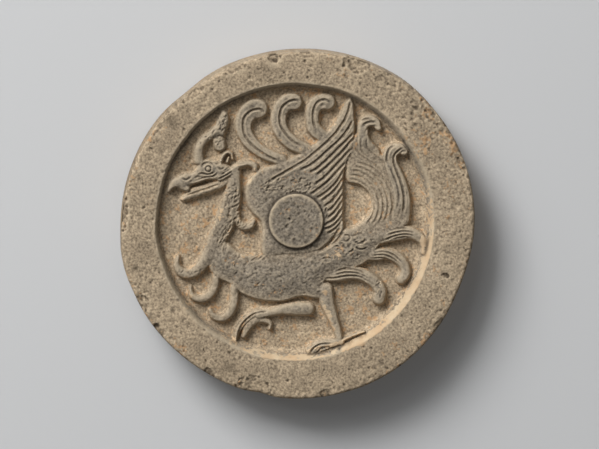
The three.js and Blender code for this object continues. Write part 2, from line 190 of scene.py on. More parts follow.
def near(line, window):
    """Distance from the window's places to the line, its width there, and the length run there and in all."""
    x, z = DRAW_X[window], DRAW_Z[window]
    nearest = np.full(x.shape, np.inf)
    width = np.zeros(x.shape)
    run = np.zeros(x.shape)
    so_far = 0.0
    for start, end in zip(line[:-1], line[1:]):
        step = end[:2] - start[:2]
        length = np.hypot(*step)
        share = np.clip(((x - start[0]) * step[0] + (z - start[1]) * step[1]) / length ** 2, 0, 1)
        distance = np.hypot(x - start[0] - share * step[0], z - start[1] - share * step[1])
        closer = distance < nearest
        nearest[closer] = distance[closer]
        width[closer] = (start[2] + share * (end[2] - start[2]))[closer]
        run[closer] = (so_far + share * length)[closer]
        so_far += length
    return nearest, width, run, so_far


def inside(line, window):
    """True at the window's places that a closed line goes round."""
    x, z = DRAW_X[window], DRAW_Z[window]
    within = np.zeros(x.shape, bool)
    for (start_x, start_z), (end_x, end_z) in zip(line[:-1, :2], line[1:, :2]):
        if start_z == end_z:
            continue
        spans = (start_z > z) != (end_z > z)
        within ^= spans & (x < start_x + (z - start_z) * (end_x - start_x) / (end_z - start_z))
    return within


# ---- Forms of the relief -------------------------------------------------------------------------

FOOT = 2.4  # outside its edge a form falls away by this much for each millimetre


def blend_in(relief, window, form, softness):
    """Raises the relief to the form, with a small hollow fillet where the two meet."""
    ground = relief[window]
    overlap = np.clip(softness - np.abs(ground - form), 0, None)
    relief[window] = np.maximum(ground, form) + overlap ** 2 / (4 * softness)


def ridge(relief, points, height, shoulder=1.3, crown=0.12, softness=0.4, start=None, rise=9):
    """A band along a line of (x, z, width). It rises from the height start over the length rise."""
    line = smooth_line(points)
    window = window_round(line, line[:, 2].max() / 2 + 2)
    distance, width, run, _ = near(line, window)
    half = width / 2
    top = height if start is None else start + (height - start) * np.clip(run / rise, 0, 1)
    form = top * quarter_round((half - distance) / np.minimum(shoulder, half))
    form -= top * crown * np.clip(distance / half, 0, 1) ** 2
    form -= FOOT * np.clip(distance - half, 0, None)
    blend_in(relief, window, form, softness)


def tube(relief, points, height, start=None):
    """A well rounded band, like half a rope."""
    ridge(relief, points, height, shoulder=1.6, crown=0.3, start=start)


def mass(relief, outline, height, shoulder=1.4, swell=0.0, swell_run=10, softness=0.5):
    """A low mass inside a closed outline. Past its shoulder it swells on towards the middle."""
    line = smooth_line([(x, z, 0) for x, z in outline], closed=True)
    window = window_round(line, 3)
    distance = near(line, window)[0]
    depth = np.where(inside(line, window), distance, -distance)
    form = height * quarter_round(depth / shoulder) + swell * smoothstep(0, swell_run, depth)
    form += FOOT * np.clip(depth, None, 0)
    blend_in(relief, window, form, softness)


def button(relief, centre, radius, height, edge=0.9, softness=0.3):
    """A round flat-topped form."""
    line = np.array([(*centre, 0.0)])
    window = window_round(line, radius + 2)
    depth = radius - np.hypot(DRAW_X[window] - centre[0], DRAW_Z[window] - centre[1])
    form = height * quarter_round(depth / edge) + FOOT * np.clip(depth, None, 0)
    blend_in(relief, window, form, softness)


def groove(relief, points, width=1.0, depth=0.8, taper=3.0, lip=0.25):
    """A line cut into the relief, shallower at its ends, with the clay pushed up a little beside it."""
    line = smooth_line([(x, z, 0) for x, z in points])
    window = window_round(line, width * 2)
    distance, _, run, length = near(line, window)
    fade = np.clip(np.minimum(run, length - run) / min(taper, length / 2), 0.15, 1)
    across = distance / (width / 2)
    relief[window] -= depth * fade * (np.exp(-across ** 2) - lip * np.exp(-(across - 1.9) ** 2 / 0.5))


def grooves(relief, lines, width=1.0, depth=0.8, taper=3.0):
    for points in lines:
        groove(relief, points, width, depth, taper)


def nicks(relief, seed, count, centre, reach, turn, length=1.8, width=0.7, depth=0.45):
    """Short cuts scattered over an oval, all about the same way."""
    random = np.random.default_rng(seed)
    for _ in range(count):
        out, round_angle = math.sqrt(random.uniform()), random.uniform(0, 2 * math.pi)
        x = centre[0] + reach[0] * out * math.cos(round_angle)
        z = centre[1] + reach[1] * out * math.sin(round_angle)
        way = math.radians(turn + random.normal(0, 16))
        half = length / 2 * random.uniform(0.6, 1.3)
        dx, dz = half * math.cos(way), half * math.sin(way)
        bow = random.uniform(-0.3, 0.3) * length
        middle = (x - bow * math.sin(way), z + bow * math.cos(way))
        cut = [(x - dx, z - dz), middle, (x + dx, z + dz)]
        groove(relief, cut, width, depth * random.uniform(0.5, 1.2), taper=0.6)


# ---- The bird ------------------------------------------------------------------------------------

BODY_OUTLINE = [
    (-47, -15), (-38, -9), (-29, -15), (-14, -15.5), (14, -12), (24, -3), (33, -2.5), (47, -5), (43, -12),
    (36, -21), (22, -27), (14.5, -31), (19, -37.4), (11, -40), (3, -38.6), (-8, -41.2), (-19, -40.6),
    (-29, -37), (-36, -31.5), (-44, -27),
]
BODY_LINES = [
    [(-20.5, -11.5), (-18, -14), (-20, -17), (-24, -19.5)],
    [(-18.4, -10.5), (-16, -13.6), (-18.6, -17.4), (-22, -19.4)],
    [(24.5, -6.6), (26.4, -6.2), (27.3, -7.6), (25.6, -9.3), (23.5, -9)],
    [(28.5, -6.8), (31, -5.9), (33.4, -5.2), (33.6, -3.2)],
    [(29.5, -9.4), (32, -10.4), (34.5, -9.6), (35.4, -7.6)],
    [(30, -12.4), (33, -13.6), (36.6, -12.6)],
    [(26, -15), (28.6, -14.2), (29, -12.6)],
    [(36.4, -2.6), (38.6, -1), (39.4, -3.4), (37.6, -5.4)],
    [(13, -18.6), (15.6, -17.8), (18, -18.2)],
    [(11.5, -36), (13.6, -34), (15.8, -34.6)],
    [(12, -38), (14.6, -35.8), (17.8, -35.6)],
    [(13.6, -38.6), (15.6, -37.4), (17.6, -37.4)],
]


def body(relief):
    mass(relief, BODY_OUTLINE, BODY, swell=FLANK, swell_run=12)
    grooves(relief, BODY_LINES, width=0.8, depth=0.7, taper=1)
    nicks(relief, 41, 420, (0, -26), (34, 11), 24, length=1.5, width=0.7, depth=0.26)
    nicks(relief, 42, 90, (-34, -19), (9, 8), 60, length=1.5, depth=0.3)
    nicks(relief, 43, 90, (31, -12), (11, 7), 10, length=2.0, depth=0.34)


def tail_ground(relief):
    mass(relief, [(26, 21), (25.4, 33), (28, 43), (31, 47), (37, 45), (39.5, 40), (46, 34), (53, 27),
                  (58.8, 15),
                  (59, 4), (50, -9), (36, -13), (24, -14), (19, -8), (27, -3.2), (33, 0.6), (37.2, 5),
                  (38.4, 10.4),
                  (36.6, 15.6), (32, 19.4)], TAIL_GROUND, shoulder=1.4)


def arc(centre, radius, start, end, count=9):
    angles = np.radians(np.linspace(start, end, count))
    return [(centre[0] + radius * math.cos(a), centre[1] + radius * math.sin(a)) for a in angles]


TAIL_ARCS = {"count": 5, "centre": (26.5, 9.2), "inner": 13.6, "apart": 2.35}
TAIL_LINES = [
    [(29.6, 41), (30.8, 37.6), (34, 34.4), (40, 30.4), (45, 25.6)],
    [(33.2, 45.4), (32.8, 40.6), (34, 36.6), (38, 33.6)],
    [(36, 45), (35.8, 41.6), (37, 38), (41, 34.6), (45.6, 30.4)],
    [(47.6, 30), (49.2, 26), (51.8, 19), (52.6, 12.4), (51.4, 6.4)],
    [(46.4, 24.4), (48.8, 19), (50, 13), (49.4, 7.4), (47.6, 3.4)],
    [(53.8, 9.2), (53.2, 5.4), (52, 2)],
]
TAIL_PLUMES = [
    [(54.6, 2, 9), (54.6, 8, 9.6), (53.6, 16, 10), (51, 24.6, 9), (48.6, 31, 8), (48, 35.4, 8),
     (50.2, 38, 7.4),
     (53.6, 38.4, 6.4), (55.4, 37, 5)],
    [(39, 36, 9), (34.8, 41.5, 8.2), (34, 47.5, 6.4), (34.6, 51.4, 7), (37.4, 53, 7.2), (40.6, 51.8, 6),
     (42.2, 49.4, 4)],
]
PLUME_LINES = [
    [(52, 41), (48.4, 39.4), (46.8, 36.6), (46.4, 33), (47.2, 29.6)],
    [(56, 39), (53, 38), (50.4, 35.2), (50, 32), (51.4, 27.4), (53.6, 21.6), (55.2, 15), (55.4, 9.4),
     (54.4, 4)],
    [(52.4, 34.6), (54, 37), (56, 37.4), (56.6, 36)],
    [(31.4, 52.2), (34.4, 53.8), (38.6, 54)],
    [(33, 49.6), (35.6, 52), (41.4, 52.8)],
    [(34.8, 47), (37.4, 49.8), (41.8, 50.2)],
]
TAIL_CURLS = [
    [(40, -6.8, 8), (46, -6.8, 8.6), (52, -5.5, 8.8), (57.5, -5.2, 8), (62, -6.6, 7.4), (65.2, -9.6, 6.4),
     (66.2, -13, 5.6), (65.6, -15.4, 5)],
    [(34, -16.5, 8), (40, -16.6, 7.6), (47, -16.4, 7.4), (52.4, -18.6, 7.2), (56, -22.8, 6.8),
     (56.2, -27, 6.8), (54.2, -29.6, 6.8)],
    [(14, -27.8, 6.6), (21, -27.4, 8), (28, -26, 8.4), (35, -27.6, 8), (40.4, -31.2, 7.8), (43.3, -36, 7.8),
     (42.6, -39.6, 8)],
]
CURL_LINES = [
    [(47.5, -4), (53, -2.8), (59, -3.2)],
    [(46, -6.5), (51, -4.9), (56, -4.3), (60.6, -5)],
    [(44.5, -9.5), (50, -6.9), (56, -5.9), (60.6, -6.8)],
    [(49, -8.6), (55, -7.4), (60, -8)],
    [(41.6, -13.4), (47, -13.6), (52, -15.9), (54.4, -18.4)],
    [(40, -15.3), (46, -15), (51, -17.4), (54.5, -20.6)],
    [(39, -17), (45, -16.6), (50, -18.8), (53.2, -21.9)],
    [(38, -18.6), (44, -18.2), (49, -20.2)],
    [(20, -25), (25, -23.9), (31, -24.5), (36, -27)],
    [(19, -27.2), (25, -25.7), (32, -26.3), (37.4, -29.2)],
    [(14, -29), (20, -28.5), (26, -27.4), (33, -28), (37.6, -31)],
]


def tail(relief):
    tail_ground(relief)
    for points in TAIL_PLUMES:
        ridge(relief, points, TAIL, start=TAIL_GROUND, shoulder=1.1)
    for points in TAIL_CURLS:
        tube(relief, points, TAIL, start=TAIL_GROUND)
    for i in range(TAIL_ARCS["count"]):
        radius = TAIL_ARCS["inner"] + TAIL_ARCS["apart"] * i
        groove(relief, arc(TAIL_ARCS["centre"], radius, 92 - 3 * i, 7 * i - 48), width=0.95, depth=0.62)
    grooves(relief, TAIL_LINES, width=0.9, depth=0.5)
    grooves(relief, PLUME_LINES, width=1.1, depth=1.0)
    grooves(relief, CURL_LINES, width=0.95, depth=0.85)
    nicks(relief, 44, 26, (41.8, -34.4), (2.6, 4.6), 70, length=1.4, depth=0.5)


WING_OUTLINE = [
    (-27.2, 18), (-25, 23.4), (-20, 28.2), (-12, 31), (-5, 33.6), (2, 37), (10, 43), (17, 50), (21.6, 56.6),
    (24.6, 63), (27.4, 65.2), (29.6, 62), (30, 56), (30.6, 50), (30, 45), (29, 38), (26.6, 32), (24.6, 26),
    (24.4, 14), (24.2, 2), (24.6, -3.6), (19, -8.6), (10, -15), (-8, -17), (-18, -17), (-19.2, -11),
    (-18.6, -4),
    (-19.5, 1), (-23.5, 5), (-26.5, 10),
]
WING_LINES = [
    [(-14.6, 22), (-9, 25.2), (0, 30.4), (4, 32.7), (8, 36), (12, 39.3), (16, 43), (20, 47), (22, 50),
     (24.5, 53.5), (26.4, 58), (27.6, 63.4)],
    [(1, 27.6), (7, 30.6), (10, 32.8), (14, 36.4), (18, 40), (22, 43.6), (26, 48.6), (28.8, 53.6)],
    [(6, 26.4), (10, 28.6), (14, 32), (18, 35.8), (22, 39.8), (26, 43.6), (29.8, 47.6)],
    [(9.6, 25), (15, 29.3), (20, 34), (24, 38), (27.6, 42.4), (30, 44.6)],
    [(9, 20.4), (14, 24), (18, 28), (22, 32.2), (26, 36.6), (28.6, 39)],
    [(6.6, 15), (12, 18.8), (17, 23), (21, 27.2), (25.4, 31.8)],
    [(9.5, 13), (14, 15.6), (18, 19), (21.8, 23.4), (24.4, 28.6)],
    [(12, 11.4), (17, 15), (20.6, 18.8), (24, 24)],
    [(13.4, 8.6), (18, 11.8), (21.4, 15.6), (24.2, 20)],
    [(14.4, 5.6), (18.4, 8.4), (21.6, 12.4), (24, 16)],
    [(14.6, 2.4), (18.6, 5.2), (21.4, 8.6), (24, 12.6)],
    [(14, -0.8), (18, 1.4), (21.6, 5.2), (24.2, 9)],
    [(13.4, -3), (17.6, -1.8), (21, 1), (24.2, 5)],
    [(15, -5.6), (18.6, -3.6), (21.8, -0.4), (24, 2.4)],
    [(17, -9), (20, -5.6), (22.4, -1)],
    [(10, -15.2), (15, -12.8), (20, -9.6), (24, -4.4)],
]


BOSS_CENTRE = (-0.7, 1.4)
BOSS_RADIUS = 14.6
BOSS_PIT = [(-4.6, 2.2), (-3.6, 2.9)]


def wing(relief):
    mass(relief, WING_OUTLINE, WING_GROUND, shoulder=1.5, swell=0.7, swell_run=8)
    grooves(relief, WING_LINES, width=1.1, depth=1.0, taper=2)
    nicks(relief, 45, 80, (-4, 19.6), (15, 4.6), 34, length=2.4, depth=0.5)
    nicks(relief, 46, 40, (-17, 9), (6, 9), 50, length=1.6, depth=0.3)
    nicks(relief, 47, 60, (19, 4), (4.6, 11), 50, length=2.2, depth=0.45)
    button(relief, BOSS_CENTRE, BOSS_RADIUS, BOSS)
    nicks(relief, 48, 60, (-2, 1), (11, 11), 30, length=1.4, depth=0.24)
    groove(relief, BOSS_PIT, width=1.2, depth=0.9, taper=0.4)


NECK_LINE = [
    (-32, 26, 7), (-33, 18, 9), (-34.2, 11, 11), (-37.6, 1, 12), (-41.8, -8, 11), (-45.4, -15, 9),
    (-49.2, -21.2, 7.6), (-54.2, -25.6, 6.8), (-59.5, -25.6, 6.4), (-62.3, -21.6, 5), (-61.8, -17.2, 3.2),
]
NECK_HOOK = [(-31.2, 6, 4), (-30.6, 1, 5), (-27.8, -1.6, 5.6), (-24.4, -1.2, 5.2), (-22.8, 0.6, 3.8)]
BREAST_HOOKS = [
    [(-42.2, -24, 5), (-42.6, -32, 5.6), (-45.6, -37.2, 5.8), (-50.3, -39.4, 5.4), (-54.4, -37.6, 4.6),
     (-55.4, -33, 2.6)],
    [(-32.8, -32, 5.8), (-32.8, -40.5, 6), (-34.8, -46.3, 5.8), (-39, -49.4, 5.4), (-43.4, -48.2, 4.8),
     (-45.2, -45.2, 3.2)],
]


def neck_and_breast(relief):
    tube(relief, NECK_LINE, NECK)
    tube(relief, NECK_HOOK, HOOK)
    for points in BREAST_HOOKS:
        tube(relief, points, HOOK)
    nicks(relief, 49, 150, (-33.4, 5), (4.4, 17), 52, length=2.0, width=0.75, depth=0.6)
    nicks(relief, 50, 50, (-38.6, -8), (3, 7), 60, length=2.0, depth=0.5)
    nicks(relief, 51, 26, (-27, -0.6), (4, 2), 30, length=1.3, depth=0.45)
    nicks(relief, 52, 60, (-53, -25.6), (10, 2.6), 20, length=1.6, depth=0.3)


CREST_PLUMES = [
    [(-8, 32.6, 6.8), (-17.6, 36.8, 7.4), (-24.6, 42.6, 8.4), (-27.8, 50, 9.2), (-26.6, 55.6, 10),
     (-22.8, 59.3, 11), (-20.3, 59.5, 11)],
    [(5, 38, 7.4), (-3, 42, 8.4), (-8, 47.6, 8.8), (-9.7, 54, 9), (-8, 60, 9.2), (-4.6, 62.9, 9.6),
     (-1.6, 63, 9.4)],
    [(14, 44.6, 7.4), (9, 49, 8), (7.8, 55, 7.8), (8.8, 60.4, 8.6), (12.2, 63, 9.2), (15.6, 62.9, 9.2)],
]
CREST_LINES = [
    [(-9.6, 32.4), (-15, 34.8), (-20, 38), (-24, 41.4), (-27.2, 46), (-28, 52), (-26.8, 56), (-23, 58.8),
     (-19, 59.2), (-16.4, 57.4)],
    [(2.6, 40), (-2, 42.4), (-6, 46.6), (-8.6, 51), (-9, 56), (-7.8, 60.2), (-5, 62.8), (-1.6, 64),
     (2, 63.4)],
    [(9.6, 48), (8.2, 54), (8.8, 60), (10.8, 63), (14, 64.2), (18, 62.4)],
]


def crest(relief):
    for points in CREST_PLUMES:
        ridge(relief, points, PLUME, start=WING_GROUND, shoulder=1.2)
    grooves(relief, CREST_LINES, width=1.1, depth=1.0)


COMB_OUTLINE = [
    (-53.2, 30.5), (-54, 38), (-52.6, 42), (-49.4, 46), (-45.4, 49), (-42.6, 52.4), (-41, 56),
    (-38.8, 59.4),
    (-36.2, 58.4), (-34.8, 55), (-35, 51.5), (-36.4, 48), (-37.6, 45), (-41, 44.6), (-44, 43),
    (-46.2, 41.6),
    (-47.6, 39), (-48, 36), (-47.6, 30.5),
]


def comb(relief):
    mass(relief, COMB_OUTLINE, PLUME - 0.8, shoulder=1.5, swell=1, swell_run=3)
    tube(relief, [(-40.5, 42.8, 7.6), (-40, 40.4, 7.4)], PLUME)
    tube(relief, [(-40, 31, 3.6), (-38.6, 35, 3.4), (-36.2, 37, 3), (-33.9, 36, 2.8),
                  (-33.4, 33.6, 2.2)], HOOK)
    tube(relief, [(-36.2, 32, 2.4), (-35.5, 34.2, 2)], HOOK)
    nicks(relief, 53, 60, (-38.2, 53), (2.6, 6), 60, length=1.4, depth=0.5)
    nicks(relief, 54, 26, (-40.2, 41.4), (3, 3.6), 50, length=1.2, depth=0.5)
    nicks(relief, 55, 24, (-45, 46), (5, 2.4), 40, length=2.2, depth=0.4)


UPPER_HEAD = [
    (-37, 31), (-43, 33.6), (-49.4, 33.4), (-52.6, 30), (-54.6, 27.2), (-58, 26.8), (-61.6, 25.4),
    (-65, 23.6),
    (-67, 21), (-67.8, 18.2), (-67.2, 15.8), (-65.4, 16.2), (-63.4, 18.2), (-60, 16.8), (-57.4, 16),
    (-55, 18.8), (-50.6, 20.4), (-45.6, 22.2), (-40, 22), (-34, 25), (-32.6, 28.4),
]
LOWER_JAW = [
    (-60.4, 14), (-58.2, 16.2), (-55, 18.8), (-50, 20.2), (-45.6, 21.4), (-38, 24.4), (-34.4, 25),
    (-34, 21.4),
    (-38, 17.8), (-44, 15.4), (-50, 13.2), (-55, 11.6), (-59.2, 10.8), (-60.8, 12.2),
]
HEAD_LINES = [
    [(-50, 29), (-48.4, 31.2), (-45.6, 31.8), (-42.8, 30.4)],
    [(-52, 25), (-49.6, 26.2), (-46, 25.6), (-42.6, 27)],
    [(-50.6, 23.4), (-47, 24.2), (-43.4, 24.8), (-41, 26.6)],
    [(-54, 23.4), (-51.4, 24.6), (-48.8, 24.4)],
    [(-43.4, 32.4), (-41.6, 31), (-39.6, 31.8), (-38, 30.4)],
    [(-41.4, 29.6), (-39.4, 28.4), (-37.4, 29.4)],
    [(-60.2, 24.4), (-57.6, 23), (-54.8, 24.6)],
    [(-58, 14.4), (-52, 16.4), (-46, 18.4), (-40, 20.6)],
]
CHEEK_LINES = [
    [(-39.6, 25.4), (-35.5, 28), (-31, 30.8), (-26.6, 31.4)],
    [(-39, 27), (-35, 29.4), (-31.4, 31.8)],
    [(-41.4, 23), (-37, 25.2), (-33.4, 27.6)],
]
MOUTH_LINES = [
    [(-56, 19.6), (-52, 20.2), (-48.6, 21.3), (-45.4, 22.8)],
    [(-65.6, 16.8), (-63.4, 17.8), (-61.4, 18.8)],
]
EYE = (-46.1, 28.6)


def head(relief):
    mass(relief, LOWER_JAW, HEAD - 1.2, shoulder=2.6)
    mass(relief, UPPER_HEAD, HEAD - 0.9, shoulder=1.6, swell=1, swell_run=4)
    tube(relief, [(-40, 23.8, 5.6), (-34, 27.4, 5.4), (-29.4, 30.4, 4.6), (-25, 31.2, 4.2),
                  (-22, 29.8, 4.6),
                  (-21.6, 27.8, 4)], PLUME)
    button(relief, (-57.4, 24.9), 2, HEAD, edge=1.4)
    button(relief, (-57.2, 18.4), 2.3, HEAD, edge=1.6)
    grooves(relief, HEAD_LINES, width=0.9, depth=0.8, taper=1.5)
    grooves(relief, CHEEK_LINES, width=0.8, depth=0.8, taper=1.5)
    grooves(relief, MOUTH_LINES, width=1.5, depth=2.2, taper=3)
    button(relief, EYE, 2.7, HEAD + 0.9, edge=0.8)
    groove(relief, arc(EYE, 1.5, 0, 359), width=0.9, depth=1.1, taper=0.1)


LEG_LINES = [
    [(-13, -44.4), (-20, -44.9), (-26, -47.6), (-30.6, -52.4), (-32.7, -57.4), (-32.8, -61.6)],
    [(-15, -45.6), (-22, -47), (-27, -50.8), (-30, -55.4), (-31.2, -61)],
    [(19, -61.4), (11, -61.9), (6.4, -64.6), (4.2, -67.4)],
    [(18.6, -62.6), (12, -63.1), (8, -65.6), (6.6, -68.2)],
    [(16.6, -64.2), (12, -65.6), (10, -67.6)],
]


def legs(relief):
    tube(relief, [(5.6, -44.8, 8.2), (0, -44.7, 8.4), (-6, -45, 7), (-12, -46, 5.8),
                  (-20, -47.6, 6)], THIGH)
    tube(relief, [(14.6, -35, 9.4), (15.6, -41, 8.8), (18.4, -49, 7), (21.2, -57, 5.4),
                  (22, -61.4, 5)], LEG + 0.6)
    ridge(relief, [(-14, -45.6, 4), (-21, -46.6, 5), (-27.4, -50.4, 5.2), (-31.4, -56, 4.4),
                   (-32.4, -60.8, 3.2)],
          TOE + 0.4)
    tube(relief, [(-14.4, -55.2, 2.4), (-13.9, -52.6, 3.6), (-16.8, -50.6, 4.6), (-21.4, -50.6, 5.2),
                  (-25.2, -53.4, 5.6), (-27.6, -58.8, 4)], TOE + 0.2)
    ridge(relief, [(23, -62, 4.4), (17, -63, 6), (11, -64.6, 7.6), (6.4, -66.4, 5.4)], STANDING_FOOT)
    tube(relief, [(23.4, -61.4, 3.4), (28, -59.2, 3), (32, -57.6, 2.6), (35, -56.7, 2)], STANDING_FOOT)
    grooves(relief, LEG_LINES, width=0.9, depth=0.9, taper=2)
    nicks(relief, 56, 40, (13.6, -66), (4.4, 1.8), 30, length=1.2, depth=0.45)


def bird():
    """Height of the relief above the field, all over the grid."""
    relief = np.zeros((COUNT, COUNT))
    for form in (body, tail, wing, neck_and_breast, comb, crest, head, legs):
        form(relief)
    return relief


# ---- The disc's front ----------------------------------------------------------------------------

def outline_radius(angle):
    """Radius of the disc's outline at angles in degrees."""
    radius = RADIUS + OUT_OF_ROUND * np.cos(np.radians(2 * (angle - OUT_OF_ROUND_ANGLE)))
    for at, amount, spread in OUTLINE_SWELLINGS:
        radius = radius + amount * np.exp(-(angle_apart(angle, at) / spread) ** 2)
    return radius


def banked_soil():
    """Soil packed into the corner below the wall, most of it under the upper left of the rim."""
    x, z = GRID_X - FIELD_CENTRE[0], GRID_Z - FIELD_CENTRE[1]
    inward = np.clip(FIELD_RADIUS - np.hypot(x, z), 0, None)
    round_share = np.exp(-(angle_apart(ANGLE, BANK_ANGLE) / BANK_SPREAD) ** 2)
    return BANK_HEIGHT * round_share * np.exp(-(inward / BANK_REACH) ** 2)


def rim_and_wall():
    """Height above the field of the rim and of the wall that leads down from it."""
    x, z = GRID_X - FIELD_CENTRE[0], GRID_Z - FIELD_CENTRE[1]
    radius = np.hypot(x, z) + 0.22 * grain(5, 12)
    lean = np.clip(np.cos(np.arctan2(z, x) - math.radians(WALL_EXTRA_ANGLE)), 0, None)
    run = WALL_RUN + WALL_EXTRA_RUN * lean
    share = (radius - FIELD_RADIUS + run) / run
    wall = FIELD_DEPTH * (0.5 * np.clip(share, 0, 1) + 0.5 * smoothstep(-0.05, 1.02, share))
    middle = (RADIUS + FIELD_RADIUS) / 2
    fall = RIM_CROWN * np.clip(np.abs(radius - middle) / (middle - FIELD_RADIUS), 0, 1.2) ** 2
    return wall - fall * smoothstep(0.8, 1.1, share)


# Chips of the rim: (angle, distance from the centre, half length along the rim, half width, depth).
CHIPS = [
    (70, 89.5, 7, 5.6, 1.4), (98, 88.6, 4, 2.8, 1.5), (176, 91.4, 9.5, 3.4, 1.8), (206, 90.6, 5, 4.2, 1.3),
    (217, 91, 4.4, 3.4, 1.5), (239, 90, 3.6, 3.4, 1.2), (255, 89.6, 9.6, 8.4, 1.3),
    (341, 80.5, 1.6, 2.4, 1.0),
    (279, 88.4, 3, 2, 0.7), (88, 88.6, 5, 1.6, 0.6), (112, 88, 6, 2, 0.8), (128, 87.6, 7, 2.2, 0.9),
    (145, 88.4, 4, 1.8, 0.7), (40, 89, 6, 2.6, 0.6), (20, 90, 5, 2, 0.6), (325, 89.4, 4, 2, 0.7),
]
CHIP_WEAR = 0.9  # worn chips keep this share of their depth

PIT_COUNT = 1500
PIT_SPREAD = 90
PIT_SIZES = (0.3, 0.9)
PIT_DEPTH = 0.55  # of the pit's size
PIT_REACH = 6  # cells of the grid

# Unevenness of the front: (seed, size of its lumps, height).
FRONT_GRAIN = [(1, 9, 0.09), (2, 3.5, 0.07), (3, 1.2, 0.07)]
RIM_GRAIN = [(4, 1.6, 0.12), (6, 0.8, 0.09)]
ROUGHEST_ANGLE = 38
ROUGHEST_SPREAD = 24


def chipped(height):
    """The height with the rim's chips taken out, each a shallow hollow with a broken edge."""
    ragged = 0.16 * grain(11, 2.4) + 0.1 * grain(12, 0.9)
    for at, distance, half_length, half_width, depth in CHIPS:
        along = RADIAL * np.radians((ANGLE - at + 180) % 360 - 180) / half_length
        out = (RADIAL - distance) / half_width
        hollow = np.clip(1 - along ** 2 - out ** 2 + ragged, 0, None)
        height = height - depth * np.minimum(hollow, 1) ** 0.5 * CHIP_WEAR
    return height


def pitted(height):
    """The height with small pits left by grit and straw."""
    random = np.random.default_rng(21)
    for _ in range(PIT_COUNT):
        x, z = random.uniform(-PIT_SPREAD, PIT_SPREAD, 2)
        size = random.uniform(*PIT_SIZES) * random.uniform(0.5, 1)
        column, row = int(x / CELL + COUNT / 2), int(z / CELL + COUNT / 2)
        rows = slice(row - PIT_REACH, row + PIT_REACH + 1)
        window = (rows, slice(column - PIT_REACH, column + PIT_REACH + 1))
        apart = np.hypot(GRID_X[window] - x, GRID_Z[window] - z) / size
        height[window] -= PIT_DEPTH * size * np.exp(-apart ** 2)
    return height


def unevenness(grains):
    return sum(amount * grain(seed, size) for seed, size, amount in grains)


def front_height():
    """Height of the front above the field's floor, all over the grid."""
    height = bird()
    bank = banked_soil()
    height = np.maximum(height, bank) + 0.35 * np.minimum(height, bank)
    rim = rim_and_wall()
    overlap = np.clip(1.0 - np.abs(height - rim), 0, None)
    height = np.maximum(height, rim) + overlap ** 2 / 4
    height = blur(height, 0.16)
    height += unevenness(FRONT_GRAIN)
    roughest = np.exp(-(angle_apart(ANGLE, ROUGHEST_ANGLE) / ROUGHEST_SPREAD) ** 2)
    rough = smoothstep(74, 78, RADIAL) * (0.35 + 0.65 * roughest)
    height += rough * unevenness(RIM_GRAIN)
    return pitted(chipped(height))


HEIGHT = front_height()

# ---- The mesh ------------------------------------------------------------------------------------

SPOKES = 2048
FRONT_RINGS = 330
EDGE_RINGS = 9
SIDE_RINGS = 26
BACK_RINGS = 60
SIDE_START = 0.4  # the side's first ring lies this far behind the rounding of the front edge
TRIANGLES = 190_000


def spokes_at(share):
    """Number of spokes of a ring, halved each time the rings get half as wide."""
    count = SPOKES
    while share < 0.5 and count > 64:
        share *= 2
        count //= 2
    return count


def ring_angles(count):
    return np.arange(count) * (360 / count)


def front_ring(share):
    count = spokes_at(share)
    angle = ring_angles(count)
    radius = share * (outline_radius(angle) - FRONT_EDGE)
    x, z = radius * np.cos(np.radians(angle)), radius * np.sin(np.radians(angle))
    y = FIELD_DEPTH - THICKNESS - sample(HEIGHT, x, z)
    return np.stack([x, y, z], 1)


def edge_ring(turn):
    angle = ring_angles(SPOKES)
    radius = outline_radius(angle) - FRONT_EDGE * (1 - math.sin(turn))
    x, z = radius * np.cos(np.radians(angle)), radius * np.sin(np.radians(angle))
    y = FIELD_DEPTH - THICKNESS - sample(HEIGHT, x, z) + FRONT_EDGE * (1 - math.cos(turn))
    return np.stack([x, y, z], 1)


def side_ring(share):
    angle = ring_angles(SPOKES)
    radius = outline_radius(angle) + BACK_FLARE * share
    front = FRONT_EDGE - THICKNESS + SIDE_START
    y = np.full(SPOKES, front + (-BACK_CHAMFER - front) * share)
    x, z = radius * np.cos(np.radians(angle)), radius * np.sin(np.radians(angle))
    return np.stack([x, y, z], 1)


def back_ring(share):
    count = spokes_at(share)
    angle = ring_angles(count)
    radius = share * (outline_radius(angle) + BACK_FLARE - BACK_CHAMFER)
    x, z = radius * np.cos(np.radians(angle)), radius * np.sin(np.radians(angle))
    return np.stack([x, np.zeros(count), z], 1)


def all_rings():
    front = [front_ring(share) for share in np.linspace(0, 1, FRONT_RINGS + 1)[1:]]
    edge = [edge_ring(turn) for turn in np.linspace(0, math.pi / 2, EDGE_RINGS + 1)[1:]]
    side = [side_ring(share) for share in np.linspace(0, 1, SIDE_RINGS + 1)]
    back = [back_ring(share) for share in np.linspace(1, 0, BACK_RINGS + 1)[:-1]]
    return front + edge + side + back


def bridge(first, first_count, second, second_count):
    """Triangles between two rings, where one has as many spokes as the other, or twice or half as many."""
    if first_count < second_count:
        return bridge(second, second_count, first, first_count)[:, ::-1]
    own = np.arange(first_count)
    following = (own + 1) % first_count
    if first_count == second_count:
        return np.concatenate([
            np.stack([first + own, first + following, second + own], 1),
            np.stack([first + following, second + following, second + own], 1),
        ])
    half = np.arange(second_count)
    after = (half + 1) % second_count
    start, middle, end = 2 * half, 2 * half + 1, (2 * half + 2) % first_count
    return np.concatenate([
        np.stack([first + start, first + middle, second + half], 1),
        np.stack([first + middle, second + after, second + half], 1),
        np.stack([first + middle, first + end, second + after], 1),
    ])


def fan(centre, ring, count):
    own = np.arange(count)
    return np.stack([np.full(count, centre), ring + own, ring + (own + 1) % count], 1)


